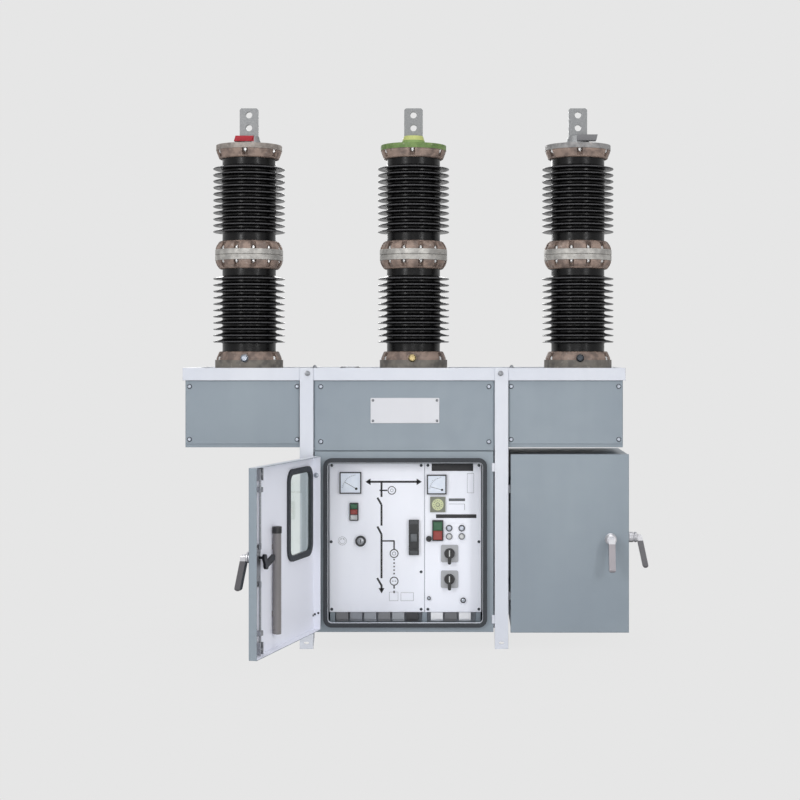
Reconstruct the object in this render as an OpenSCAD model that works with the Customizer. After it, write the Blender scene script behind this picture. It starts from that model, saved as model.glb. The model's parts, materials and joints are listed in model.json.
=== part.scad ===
// Outdoor vacuum circuit breaker: three porcelain poles on a steel housing,
// carried by four angle-iron legs, with a control cabinet and a mechanism cabinet.
// Millimetres, +Z up, front towards -Y. Origin on the ground, midway between the four feet.

/* [Frame] */
// Width over the outer edges of the legs
frame_w = 1002; // [900:1:1100]
// Depth over the front and rear faces of the legs
frame_d = 600; // [560:1:700]
// Height of the frame above the ground
frame_h = 1350; // [1300:1:1500]
// Flange width of a leg angle
leg_flange = 65; // [50:1:80]
// Flange width of a top angle
beam_flange = 60; // [50:1:70]
// Thickness of the angle irons
angle_t = 6; // [5:0.5:8]
// Free length between an outer base flange and the end of the top angles
end_room = 42; // [36:1:120]
// Gap between a leg and the control cabinet
cabinet_gap = 6; // [3:0.5:15]
// Length of a foot slot, end to end
foot_slot_l = 24; // [18:1:30]
// Width of a foot slot
foot_slot_w = 11; // [8:0.5:14]
// Height of a foot slot above the ground
foot_slot_z = 29; // [24:1:40]

/* [Pole housing] */
// Gap between the housing and an end angle
end_gap = 6; // [2:0.5:10]
// Height of the underside of the housing
housing_bottom = 968; // [960:1:1050]
// Sheet thickness of the screwed covers
cover_t = 3; // [2:0.5:5]
// Width of the bare nameplate on the middle cover
plate_w = 332; // [200:1:400]
// Height of the nameplate
plate_h = 122; // [80:1:160]

/* [Poles] */
// Distance between neighbouring pole axes
pole_pitch = 820; // [700:1:840]
// Sideways shift of the middle pole from the middle of the frame
pole_shift = 35; // [0:1:40]
// Radius of the porcelain core
core_r = 132; // [115:1:138]
// Radius over the sheds
shed_r = 178; // [165:1:190]
// Number of sheds on one insulator
shed_count = 11; // [6:1:11]
// Distance between sheds
shed_pitch = 31.3; // [28:0.1:31.3]
// Length of one insulator between its two flange castings
insulator_l = 409; // [400:1:450]
// Radius of the base flange
base_flange_r = 168; // [160:1:172]
// Radius of the two middle flange rings
ring_r = 168; // [162:1:185]
// Thickness of one middle flange ring
ring_t = 27; // [20:1:35]
// Height of a flange collar
collar_h = 42; // [35:1:50]
// Radius of the top plate
top_plate_r = 163; // [160:1:180]
// Thickness of the top plate
top_plate_t = 26; // [20:1:35]

/* [Terminals] */
// Width of a terminal pad
pad_w = 92; // [80:1:110]
// Thickness of a terminal pad
pad_t = 20; // [14:1:24]
// Height of the upright pad above its hub
pad_h = 140; // [120:1:170]
// Radius of a pad hole
pad_hole_r = 16; // [8:0.5:18]
// Distance between the two pad holes
pad_hole_pitch = 64; // [50:1:75]

/* [Control cabinet] */
// Height of its underside above the ground
control_bottom = 80; // [70:1:110]
// Gap between its top and the housing
control_gap = 19; // [16:1:40]
// Thickness of the cabinet sheet
sheet_t = 3; // [2:0.5:5]
// Height that the rubber seal stands out from the cabinet front
seal_proud = 20; // [10:1:24]
// Depth of the instrument panels behind the cabinet front
panel_recess = 62; // [56:1:90]

/* [Control door] */
// Width of the cabinet front that shows beside the door
door_margin = 26; // [24:1:32]
// Height of the cabinet front that shows above the door
door_top_margin = 22; // [16:1:30]
// Height of the cabinet front that shows below the door
door_foot_margin = 16; // [12:1:30]
// Thickness of the door over its folded edge
door_t = 38; // [34:1:44]
// Sheet thickness of the doors
skin_t = 2.5; // [2:0.5:3]
// Outer radius of the bends round a door
bend_r = 4; // [3.5:0.5:6]
// Angle that the door stands open
door_open = 104.5; // [90:0.5:112]
// Width of the window seal
window_w = 322; // [260:1:340]
// Height of the window seal
window_h = 427; // [320:1:440]
// Width of the rubber round the window
window_rim = 27; // [20:1:35]
// Length of the stored charging lever
lever_l = 481; // [420:1:520]
// Radius of the stored charging lever
lever_r = 18.5; // [15:0.5:21]

/* [Mechanism cabinet] */
// Width of the mechanism door
mech_w = 569; // [540:1:620]
// Height of the underside of the mechanism cabinet
mech_bottom = 78; // [70:1:110]
// Gap between its top and the housing
mech_gap = 33; // [28:1:60]
// Distance of its rear wall from the rear face of the legs
mech_rear_gap = 22; // [10:1:50]

/* [Handles] */
// Height of the door handles above the ground
handle_z = 528; // [480:1:600]
// Length of a handle lever below its pivot
handle_l = 152; // [120:1:165]
// Width of a handle lever
handle_w = 31; // [26:1:36]
// Thickness of a handle lever
handle_t = 26; // [20:1:28]
// Lean of a handle lever away from the door
handle_lean = 12; // [0:1:15]

/* [Hidden] */
$fn = 72;
POLES = ["left", "middle", "right"];
POLE_PIECES = ["base_flange", "lower_insulator", "middle_flange", "upper_insulator",
    "top_flange", "terminal"];

eps = 0.5;           // overrun of a cutting tool
run_gap = 0.3;       // gap between faces that slide on each other
pin_gap = 0.05;      // radial gap of a pin in its bore
clear = 6;           // gap round a swinging piece
white = [0.90, 0.91, 0.93];
grey = [0.56, 0.61, 0.65];
porcelain = [0.05, 0.05, 0.06];
casting = [0.42, 0.38, 0.36];
alloy = [0.70, 0.71, 0.72];
rubber = [0.13, 0.14, 0.16];
black = [0.07, 0.07, 0.08];

front_y = -frame_d / 2;
rear_y = frame_d / 2;
leg_out = frame_w / 2;
leg_in = leg_out - leg_flange;
beam_front = front_y + angle_t;
beam_l = 2 * (pole_pitch + pole_shift + base_flange_r + end_room);
housing_w = beam_l - 2 * (angle_t + end_gap);
control_w = 2 * (leg_in - cabinet_gap);
control_top = housing_bottom - control_gap;
mech_top = housing_bottom - mech_gap;
housing_top = frame_h - angle_t;
housing_front = beam_front + angle_t + 5;
cover_gap = 4;
end_flange = 30;
cover_top = frame_h - beam_flange - 2;
side_cover_bottom = housing_bottom + 16;
middle_cover_bottom = control_top + 3;

// Heights along a pole, from the housing upwards
base_t = 44;
lower_neck_z = housing_top + base_t + collar_h;
lower_top_z = lower_neck_z + insulator_l;
ring_z = lower_top_z + collar_h;
upper_neck_z = ring_z + 2 * ring_t + collar_h;
upper_top_z = upper_neck_z + insulator_l;
top_plate_z = upper_top_z + collar_h;
hub_z = top_plate_z + top_plate_t;
hub_h = 48;
pad_z = hub_z + hub_h;

function pole_x(pole) = pole_shift + (search([pole], POLES)[0] - 1) * pole_pitch;

// Control cabinet and its door
cabinet_front = front_y + 8;
cabinet_rear = rear_y - 8;
door_mid_x = 6;
door_w = control_w - 2 * door_margin;
door_left = door_mid_x - door_w / 2;
door_right = door_left + door_w;
door_bottom = control_bottom + door_foot_margin;
door_top = control_top - door_top_margin;
door_rim = cabinet_front - clear;
door_face = door_rim - door_t;
door_axis = [door_left - 9, door_rim - 11];
seal_w = 20;
seal_out_w = door_w - 22;
seal_bottom = door_bottom + skin_t + clear;
seal_top = door_top - skin_t - clear - 2;
seal_corner = 40;
lip_t = 2.5;
panel_y = cabinet_front + panel_recess;
panel_t = 3;
panel_left = door_mid_x - seal_out_w / 2 + seal_w + 2;
panel_right = door_mid_x + seal_out_w / 2 - seal_w - 7;
switch_panel_w = 275;
panel_split = panel_right - switch_panel_w;
panel_bottom = door_bottom + 70;
panel_top = control_top - 62;

// Mechanism cabinet
mech_left = leg_out + 11;
mech_right = mech_left + mech_w;
mech_face = front_y - 2;
mech_rim = mech_face + 32;
shell_front = mech_rim + clear + 2;
shell_rear = rear_y - mech_rear_gap;
mech_axis = [mech_left + 9, mech_face + 11];
mech_handle_x = mech_right - 88;
side_leaf_t = 20;
side_front = shell_front + 18;
side_rear = shell_rear - 40;
side_bottom = mech_bottom + 52;
side_top = mech_top - 42;
side_axis = [mech_right + 6, side_rear + 4];
side_handle_y = side_front + 32;

hinge_zs = [door_bottom + 106, control_top - 112];
knuckle_h = 26;
knuckle_r = 6;
pin_r = 3;

// Flat shapes and turned shapes that several pieces share

// A rectangle from one corner to the other with round corners
module round_rect(low, high, r) {
    translate([low[0] + r, low[1]]) square([high[0] - low[0] - 2 * r, high[1] - low[1]]);
    translate([low[0], low[1] + r]) square([high[0] - low[0], high[1] - low[1] - 2 * r]);
    for (x = [low[0] + r, high[0] - r]) for (y = [low[1] + r, high[1] - r]) translate([x, y]) circle(r);
}

// An outline drawn in X and Z, extruded from y by the thickness t towards the rear
module upright(y, t) { translate([0, y + t, 0]) rotate([90, 0, 0]) linear_extrude(t) children(); }

// A box between two corners
module block(low, high) { translate(low) cube(high - low); }

// A rectangle with its two lower corners round
module bent_rect(low, high, r) {
    translate([low[0], low[1] + r]) square([high[0] - low[0], high[1] - low[1] - r]);
    translate([low[0] + r, low[1]]) square([high[0] - low[0] - 2 * r, high[1] - low[1]]);
    for (x = [low[0] + r, high[0] - r]) translate([x, low[1] + r]) circle(r);
}

// A box whose front face runs into its four sides in round bends
module bent_box(low, high, r) intersection() {
    translate([0, 0, low[2]]) linear_extrude(high[2] - low[2])
        bent_rect([low[0], low[1]], [high[0], high[1]], r);
    translate([high[0], 0, 0]) rotate([0, -90, 0]) linear_extrude(high[0] - low[0])
        bent_rect([low[2], low[1]], [high[2], high[1]], r);
}

// A folded sheet: a face at the front with its four edges bent to the rear
module pan(low, high, t) difference() {
    bent_box(low, high, bend_r);
    bent_box([low[0] + t, low[1] + t, low[2] + t], [high[0] - t, high[1] + eps, high[2] - t], bend_r - t);
}

// The same piece at the front and, turned half round, at the rear
module at_rear() { rotate([0, 0, 180]) children(); }

// Frame

module top_angle() color(white) {
    block([-beam_l / 2, beam_front, frame_h - beam_flange], [beam_l / 2, beam_front + angle_t, frame_h]);
    block([-beam_l / 2, beam_front, frame_h - angle_t], [beam_l / 2, beam_front + beam_flange, frame_h]);
}

module end_top_angles() color(white) for (side = [-1, 1]) {
    out = side * beam_l / 2;
    inner = out - side * angle_t;
    wide = out - side * end_flange;
    y0 = beam_front + beam_flange;
    // the end angle's upright flange stands on the outside of the housing's end
    block([min(out, inner), y0, frame_h - beam_flange], [max(out, inner), -y0, frame_h]);
    block([min(out, wide), y0, frame_h - angle_t], [max(out, wide), -y0, frame_h]);
}

// One front leg on the +X side: an angle with its deep flange on the inside, cut to a slope at the foot
module leg_angle() {
    slope_h = 45;
    difference() {
        union() {
            block([leg_in, front_y, 0], [leg_out, front_y + angle_t, frame_h]);
            block([leg_in, front_y, 0], [leg_in + angle_t, front_y + leg_flange, frame_h - beam_flange - cover_gap]);
        }
        translate([leg_in - eps, 0, 0]) rotate([90, 0, 90]) linear_extrude(angle_t + 2 * eps)
            polygon([[front_y + angle_t, -eps], [front_y + leg_flange + eps, -eps],
                     [front_y + leg_flange + eps, slope_h], [front_y + angle_t, 8]]);
        slot_x = (leg_in + leg_out) / 2;
        slot_half = (foot_slot_l - foot_slot_w) / 2;
        for (dx = [-slot_half, slot_half]) translate([slot_x + dx, front_y - eps, foot_slot_z])
            rotate([-90, 0, 0]) cylinder(r = foot_slot_w / 2, h = angle_t + 2 * eps);
        block([slot_x - slot_half, front_y - eps, foot_slot_z - foot_slot_w / 2],
              [slot_x + slot_half, front_y + angle_t + eps, foot_slot_z + foot_slot_w / 2]);
        // clearance for the housing and its end of the cover
        block([leg_in - eps, housing_front - cover_t - 1, middle_cover_bottom - 4],
              [leg_in + angle_t + eps, front_y + leg_flange + eps, frame_h]);
    }
    // lugs that hold the control cabinet
    for (z = [control_bottom + 42, control_top - 97])
        block([control_w / 2 - 8, cabinet_front - angle_t, z], [leg_in + angle_t, cabinet_front, z + 41]);
}

module front_leg(side) color(white) if (side > 0) leg_angle(); else mirror([1, 0, 0]) leg_angle();

// Pole housing and its covers

module pole_housing() color(grey)
    block([-housing_w / 2, housing_front, housing_bottom], [housing_w / 2, -housing_front, housing_top]);

module cover(x0, x1, z0) color(grey)
    block([x0, housing_front - cover_t, z0], [x1, housing_front, cover_top]);

module side_cover() cover(leg_out + cover_gap, housing_w / 2 - 2, side_cover_bottom);

module middle_cover() cover(-leg_in + cover_gap, leg_in - cover_gap, middle_cover_bottom);

// Bare plate with round corners, screwed to the middle cover
module nameplate() color(white) {
    plate_t = 2;
    plate_x = 4;
    plate_z = cover_top - 143;
    upright(housing_front - cover_t - plate_t, plate_t)
        round_rect([plate_x - plate_w / 2, plate_z - plate_h / 2], [plate_x + plate_w / 2, plate_z + plate_h / 2], 5);
}

module rear_covers() at_rear() {
    side_cover();
    mirror([1, 0, 0]) side_cover();
    middle_cover();
}

// Poles

module at_pole(pole) { translate([pole_x(pole), 0, 0]) children(); }

// A clamping collar that widens from the porcelain to a flange of radius r, with a ring of bolt pockets
// that are open to the outside; turn sets the first pocket
module collar(r, bolts, turn) {
    pocket_r = 13;
    pocket_floor = 8;
    bolt_r = r - 18;
    difference() {
        rotate_extrude() polygon([
            [0, 0], [core_r + 10, 0], [core_r + 16, 3], [r - 9, collar_h * 0.45],
            [r - 3, collar_h * 0.8], [r - 3, collar_h], [0, collar_h]]);
        for (i = [0:bolts - 1]) rotate([0, 0, turn + i * 360 / bolts]) {
            translate([bolt_r, 0, pocket_floor]) cylinder(r = pocket_r, h = collar_h);
            block([bolt_r, -pocket_r, pocket_floor], [r + eps, pocket_r, pocket_floor + collar_h]);
        }
    }
}

// The same collar the other way up, with its wide end at the bottom
module collar_down(r, bolts, turn) { translate([0, 0, collar_h]) mirror([0, 0, 1]) collar(r, bolts, turn); }

end_bolts = 6;
end_turn = -90;
ring_bolts = 12;
ring_turn = 360 / ring_bolts / 2;
tongue_l = 154;

// A foot disc and a collar, with a drain plug at the front
module base_flange() color(casting) {
    plug_r = 21;
    plug_z = housing_top + base_t + 9;
    translate([0, 0, housing_top]) cylinder(r = base_flange_r, h = base_t);
    translate([0, 0, housing_top + base_t]) collar_down(base_flange_r - 4, end_bolts, end_turn);
    translate([0, -core_r, plug_z]) rotate([90, 0, 0]) {
        cylinder(r = plug_r + 5, h = base_flange_r - core_r - 3);
        cylinder(r1 = plug_r, r2 = plug_r - 2, h = base_flange_r - core_r + 6);
    }
}

// Half section of one shed: a thin rim that slopes up to the core, hollow underneath
function shed_points(z) = [
    [core_r, z - 9], [core_r + 8, z - 4], [shed_r - 5, z - 4], [shed_r - 1, z - 2.5],
    [shed_r, z], [shed_r - 2, z + 2], [core_r + 8, z + 10], [core_r, z + 15]];

function insulator_points(z0) = let (
    first = z0 + (insulator_l - (shed_count - 1) * shed_pitch) / 2)
    concat([[0, z0], [core_r, z0]],
           [for (i = [0:shed_count - 1]) each shed_points(first + i * shed_pitch)],
           [[core_r, z0 + insulator_l], [0, z0 + insulator_l]]);

module insulator(z0) color(porcelain) rotate_extrude() polygon(insulator_points(z0));

// Two collars bolted together through two rings; the upper ring carries the rear connection tongue
module middle_flange() color(casting) difference() {
    tongue_z = ring_z + ring_t + (ring_t - pad_t) / 2;
    union() {
        translate([0, 0, lower_top_z]) collar(ring_r, ring_bolts, ring_turn);
        translate([0, 0, ring_z]) rotate_extrude() polygon([
            [0, 0], [ring_r - 1, 0], [ring_r, 1], [ring_r, ring_t - 2], [ring_r - 4, ring_t - 1],
            [ring_r - 4, ring_t + 1], [ring_r, ring_t + 2], [ring_r, 2 * ring_t - 1], [ring_r - 1, 2 * ring_t],
            [0, 2 * ring_t]]);
        translate([0, 0, ring_z + 2 * ring_t]) collar_down(ring_r, ring_bolts, ring_turn);
        block([-pad_w / 2, 0, tongue_z], [pad_w / 2, ring_r + tongue_l, tongue_z + pad_t]);
    }
    for (dy = [-1, 1]) translate([0, rear_pad_y() + dy * pad_hole_pitch / 2, tongue_z - eps])
        cylinder(r = pad_hole_r, h = pad_t + 2 * eps);
}

function rear_pad_y() = ring_r + tongue_l / 2 + 6;

module top_flange() color(casting) {
    translate([0, 0, upper_top_z]) collar(top_plate_r, end_bolts, end_turn);
    translate([0, 0, top_plate_z]) cylinder(r = top_plate_r, h = top_plate_t);
}

// Clamp block on the front of a hub: its width and height, how far it sits to one side and above the plate
function clamp_of(pole) = pole == "left" ? [96, 27, -20, 18]
    : pole == "right" ? [102, 30, 44, 21] : [0, 0, 0, 0];

// Upright pad on a turned hub, with a clamp block at its foot on the outer poles
module terminal(pole) color(alloy) difference() {
    chamfer = 8;
    seat = 6;
    clamp = clamp_of(pole);
    clamp_l = clamp[2] - clamp[0] / 2;
    clamp_r = clamp[2] + clamp[0] / 2;
    clamp_z = hub_z + clamp[3];
    union() {
        if (clamp[0] > 0) upright(-62, 40) polygon([
            [clamp_l, clamp_z], [clamp_r - chamfer, clamp_z],
            [clamp_r, clamp_z + clamp[1]], [clamp_l + chamfer, clamp_z + clamp[1]]]);
        translate([0, 0, hub_z]) cylinder(r1 = 64, r2 = 48, h = hub_h);
        upright(-pad_t / 2, pad_t) polygon([
            [-pad_w / 2, pad_z - seat], [pad_w / 2, pad_z - seat], [pad_w / 2, pad_z + pad_h - chamfer],
            [pad_w / 2 - chamfer, pad_z + pad_h], [chamfer - pad_w / 2, pad_z + pad_h],
            [-pad_w / 2, pad_z + pad_h - chamfer]]);
    }
    for (dz = [-1, 1]) translate([0, -pad_t / 2 - eps, top_pad_z() + dz * pad_hole_pitch / 2])
        rotate([-90, 0, 0]) cylinder(r = pad_hole_r, h = pad_t + 2 * eps);
}

function top_pad_z() = pad_z + pad_h - 66;

// Control cabinet

// The face of the cabinet inside the seal is cut out, with a lip folded forwards round it
module opening_outline(grow) {
    round_rect([door_mid_x - seal_out_w / 2 + seal_w - grow, seal_bottom + seal_w - grow],
               [door_mid_x + seal_out_w / 2 - seal_w + grow, seal_top - seal_w + grow],
               seal_corner - seal_w + grow);
}

module control_cabinet() color(grey) {
    difference() {
        block([-control_w / 2, cabinet_front, control_bottom], [control_w / 2, cabinet_rear, control_top]);
        block([-control_w / 2 + sheet_t, cabinet_front + sheet_t, control_bottom + sheet_t],
              [control_w / 2 - sheet_t, cabinet_rear - sheet_t, control_top - sheet_t]);
        upright(cabinet_front - eps, sheet_t + 2 * eps) opening_outline(-lip_t);
    }
    upright(cabinet_front - seal_proud + 4, seal_proud - 4 + sheet_t) difference() {
        opening_outline(0);
        opening_outline(-lip_t);
    }
    for (z = hinge_zs) cabinet_hinge(z);
}

// Two fixed knuckles, their pin and the leaf that stands on the cabinet front
module cabinet_hinge(z) {
    for (dz = [-1, 1]) translate([door_axis[0], door_axis[1], z + dz * knuckle_h - knuckle_h / 2]) {
        cylinder(r = knuckle_r, h = knuckle_h);
        translate([-knuckle_r, 0, 0]) cube([4, cabinet_front - door_axis[1] + 1, knuckle_h]);
    }
    translate([door_axis[0], door_axis[1], z - knuckle_h]) cylinder(r = pin_r, h = 2 * knuckle_h);
}

module door_seal() color(rubber) upright(cabinet_front - seal_proud, seal_proud) difference() {
    opening_outline(seal_w);
    opening_outline(0);
}

module panel_plate(x0, x1) color(white)
    block([x0, panel_y, panel_bottom], [x1, panel_y + panel_t, panel_top]);

// Uprights that the two panels are screwed to
post_w = 24;
post_d = 40;
rail_y = panel_y + panel_t + post_d;

module panel_posts() color(white) for (x = [panel_left + 15, panel_split, panel_right - 15])
    block([x - post_w / 2, panel_y + panel_t, control_bottom + sheet_t],
          [x + post_w / 2, rail_y, control_top - sheet_t]);

// Rail behind the foot of the panels, with a row of terminal blocks on each side of the middle upright
module terminal_rail() color(grey) {
    rail_t = 3;
    block_d = post_d - 4;
    block_w = 58;
    block_z = [panel_bottom - 47, panel_bottom + 4];
    row_pitch = 68;
    row_end = post_w + block_w / 2 + clear;
    block([panel_left + 3, rail_y, control_bottom + sheet_t],
          [panel_right - 3, rail_y + rail_t, panel_bottom + 12]);
    for (row = [[panel_left + row_end + 3, panel_split - row_end], [panel_split + row_end, panel_right - row_end - 3]])
        for (x = [row[0]:row_pitch:row[1]]) difference() {
            block([x - block_w / 2, rail_y - block_d, block_z[0]], [x + block_w / 2, rail_y, block_z[1]]);
            // the wire entries step back from the front of the block
            block([x - block_w / 2 - eps, rail_y - block_d - eps, block_z[0] - eps],
                  [x + block_w / 2 + eps, rail_y - block_d + 9, block_z[0] + 12]);
        }
}

// Pieces on the panels stand forward of the panel face
module on_panel(x, z) { translate([x, panel_y, z]) rotate([90, 0, 0]) children(); }

// Places in from the left or right edge of the panels, down from their top or up from their foot
module high_left(x, down) { on_panel(panel_left + x, panel_top - down) children(); }
module high_right(x, down) { on_panel(panel_right - x, panel_top - down) children(); }
module low_left(x, up) { on_panel(panel_left + x, panel_bottom + up) children(); }
module low_right(x, up) { on_panel(panel_right - x, panel_bottom + up) children(); }

module meter(size, depth, recess) difference() {
    translate([-size / 2, -size / 2, 0]) cube([size, size, depth]);
    rim = 5;
    translate([-size / 2 + rim, -size / 2 + rim, depth - recess])
        cube([size - 2 * rim, size - 2 * rim, recess + eps]);
}

// A box with a column of push buttons
module button_station(w, h, buttons) {
    rim = 6;
    gap = 4;
    button_h = (h - 2 * rim - (buttons - 1) * gap) / buttons;
    linear_extrude(12) round_rect([-w / 2, -h / 2], [w / 2, h / 2], 4);
    for (i = [0:buttons - 1]) translate([rim - w / 2, rim - h / 2 + i * (button_h + gap), 12])
        cube([w - 2 * rim, button_h, 6]);
}

module charge_indicator(w, h) {
    difference() {
        translate([-w / 2, -h / 2, 0]) cube([w, h, 16]);
        translate([-w / 2 + 6, -h / 2 + 28, 10]) cube([w - 12, h - 56, 7]);
    }
    translate([-w / 2 + 10, -18, 10]) cube([w - 20, 36, 10]);
}

module key_lock(r, depth) difference() {
    cylinder(r = r, h = depth);
    translate([0, 0, depth - 4]) cylinder(r = r * 0.68, h = 5);
}

module signal_lamp() {
    cylinder(r = 15, h = 5);
    translate([0, 0, 5]) cylinder(r1 = 11, r2 = 8, h = 8);
}

switch_x = panel_right - 154;
switch_zs = [panel_bottom + 160, panel_bottom + 284.5];
switch_plate_t = 7;
spindle_r = 6;

// Square plate of a rotary switch, bored for the spindle of its knob
module switch_plate() difference() {
    linear_extrude(switch_plate_t) round_rect([-42, -42], [42, 42], 8);
    translate([0, 0, 1]) cylinder(r = spindle_r + pin_gap, h = switch_plate_t);
}

module panel_instruments() color(black) {
    high_left(103, 94) meter(105, 14, 3);
    high_right(216, 102) meter(95, 14, 3);
    high_right(211, 199) meter(74, 10, 2);
    high_left(120, 234) button_station(43, 87, 3);
    low_right(211, 396) button_station(54, 101, 2);
    low_right(327, 363) charge_indicator(49, 170);
    low_left(152, 345) key_lock(26, 14);
    low_right(254, 356) key_lock(14, 14);
    low_right(254, 68) key_lock(9, 10);
    low_right(88, 58) key_lock(13, 12);
    for (x = [95, 156]) for (up = [367, 407]) low_right(x, up) signal_lamp();
    for (z = switch_zs) on_panel(switch_x, z) switch_plate();
}

// Pistol-grip knob: a turned boss on its spindle with a bar that points down
module switch_knob(z) color(black) on_panel(switch_x, z) {
    translate([0, 0, 1 + run_gap]) cylinder(r = spindle_r, h = switch_plate_t);
    translate([0, 0, switch_plate_t + run_gap]) {
        cylinder(r1 = 26, r2 = 23, h = 14);
        linear_extrude(26) round_rect([-8, -50], [8, 24], 7);
    }
}

// Control door, drawn closed and then swung open about its hinge

module at_control_door() {
    translate([door_axis[0], door_axis[1], 0]) rotate([0, 0, -door_open])
        translate([-door_axis[0], -door_axis[1], 0]) children();
}

window_left = door_left + 34;
window_right = window_left + window_w;
window_bottom = door_top - 41 - window_h;
latch_x = door_right - 100;
lever_x = (window_right + latch_x) / 2;
lever_z = door_bottom + 70;
cam_l = latch_x - lever_x - lever_r - 60;
inner_skin = door_face + skin_t;

module window_outline(grow) round_rect([window_left - grow, window_bottom - grow],
    [window_right + grow, window_bottom + window_h + grow], 60 + grow);

module control_door() color(grey) at_control_door() {
    difference() {
        pan([door_left, door_face, door_bottom], [door_right, door_rim, door_top], skin_t);
        upright(door_face - eps, skin_t + 2 * eps) window_outline(-window_rim / 2);
        translate([latch_x, door_face - eps, handle_z]) rotate([-90, 0, 0])
            cylinder(r = handle_spindle_r + pin_gap, h = skin_t + 2 * eps);
    }
    for (z = hinge_zs) door_knuckle(z);
    rod_guides();
    latch_case();
}

// The moving knuckle, bored for the pin, on a leaf that joins the folded edge
module door_knuckle(z) difference() {
    union() {
        translate([door_axis[0], door_axis[1], z - knuckle_h / 2 + run_gap])
            cylinder(r = knuckle_r, h = knuckle_h - 2 * run_gap);
        block([door_axis[0], door_axis[1] - 2, z - knuckle_h / 2 + run_gap],
              [door_left + skin_t / 2, door_axis[1] + 2, z + knuckle_h / 2 - run_gap]);
    }
    translate([door_axis[0], door_axis[1], z - knuckle_h]) cylinder(r = pin_r + pin_gap, h = 2 * knuckle_h);
}

// Rubber profile that grips the sheet on both sides and holds the pane
module window_seal() color(rubber) at_control_door() {
    upright(inner_skin, 10) difference() {
        window_outline(0);
        window_outline(-window_rim);
    }
    upright(door_face - 4, 4) difference() {
        window_outline(-window_rim / 2 + 10);
        window_outline(-window_rim);
    }
    upright(door_face, skin_t) difference() {
        window_outline(-window_rim / 2);
        window_outline(-window_rim + 6);
    }
}

module window_glass() color([0.85, 0.9, 0.9, 0.35]) at_control_door()
    upright(door_face, skin_t) window_outline(-window_rim + 6);

// Lever for charging the spring by hand, stored in two clips
module charging_lever() color(alloy) at_control_door() {
    axis_y = inner_skin + 3 + lever_r;
    translate([lever_x, axis_y, lever_z]) cylinder(r = lever_r, h = lever_l - 30);
    translate([lever_x, axis_y, lever_z + lever_l - 30]) cylinder(r = lever_r + 1, h = 30);
    clip_h = 22;
    clip_end = 80;
    for (z = [lever_z + clip_end, lever_z + lever_l - clip_end - clip_h])
        block([lever_x - 9, inner_skin, z], [lever_x + 9, axis_y, z + clip_h]);
}

rod_r = 5;
latch_room = door_t - skin_t + clear - seal_proud;   // from the inner skin to the seal on a shut door
rod_y = inner_skin + latch_room / 2;
rod_end_gap = 18;   // distance of a rod's outer end from the edge of the door
guide_inset = 84;   // distance of a guide from the outer end of its rod
case_top = 57;      // reach of the latch case above the spindle
case_foot = 126;    // reach of the latch case below the spindle

module at_rods(up) { translate([0, 0, handle_z]) if (up) children(); else mirror([0, 0, 1]) children(); }

// How far a rod's outer and inner ends are from the spindle
function rod_reach(up) = (up ? door_top - handle_z : handle_z - door_bottom) - rod_end_gap;
function rod_join(up) = (up ? case_top : case_foot) - 9;

// Bored blocks that guide the rods
module rod_guides() for (up = [true, false]) at_rods(up) difference() {
    z = rod_reach(up) - guide_inset;
    block([latch_x - 14, inner_skin, z - 11], [latch_x + 14, rod_y + 9, z + 11]);
    translate([latch_x, rod_y, z - 12]) cylinder(r = rod_r + pin_gap, h = 24);
}

// Pierced plate that the spindle turns in, and the cheeks that the rod ends run between
module latch_case() {
    case_w = 46;
    case_t = 4;
    case_mid = (case_top - case_foot) / 2;
    cheek_t = 4;
    difference() {
        block([latch_x - case_w / 2, inner_skin, handle_z - case_foot],
              [latch_x + case_w / 2, inner_skin + case_t, handle_z + case_top]);
        translate([latch_x, inner_skin - eps, handle_z]) rotate([-90, 0, 0])
            cylinder(r = handle_spindle_r + pin_gap, h = case_t + 2 * eps);
        for (dx = [-1, 1]) for (dz = [-78, -52, 52, 78])
            translate([latch_x + dx * 14, inner_skin + 1, handle_z + case_mid + dz]) rotate([-90, 0, 0])
                cylinder(r = 6, h = case_t);
    }
    for (up = [true, false]) at_rods(up) for (dx = [-15, 15])
        block([latch_x + dx - cheek_t / 2, inner_skin, rod_reach(up) - 44],
              [latch_x + dx + cheek_t / 2, inner_skin + latch_room - 1.5, rod_reach(up) + 10]);
}

// A latch rod with a flat eye at the crank and a roller at its far end
module latch_rod(up) color(alloy) at_control_door() at_rods(up) {
    join = rod_join(up);
    translate([latch_x, rod_y, join]) cylinder(r = rod_r, h = rod_reach(up) - join);
    block([latch_x - 9, rod_y - 3, join - 12], [latch_x + 9, rod_y + 3, join + 14]);
    translate([latch_x - 7, rod_y, rod_reach(up) - 14]) rotate([0, 90, 0]) cylinder(r = latch_room / 2 - 1.75, h = 14);
}

// Door handles, drawn with the pivot along Y at the origin and the door face at y = 0

handle_spindle_r = 6;
handle_boss_r = 28;
handle_boss_l = 46;

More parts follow.
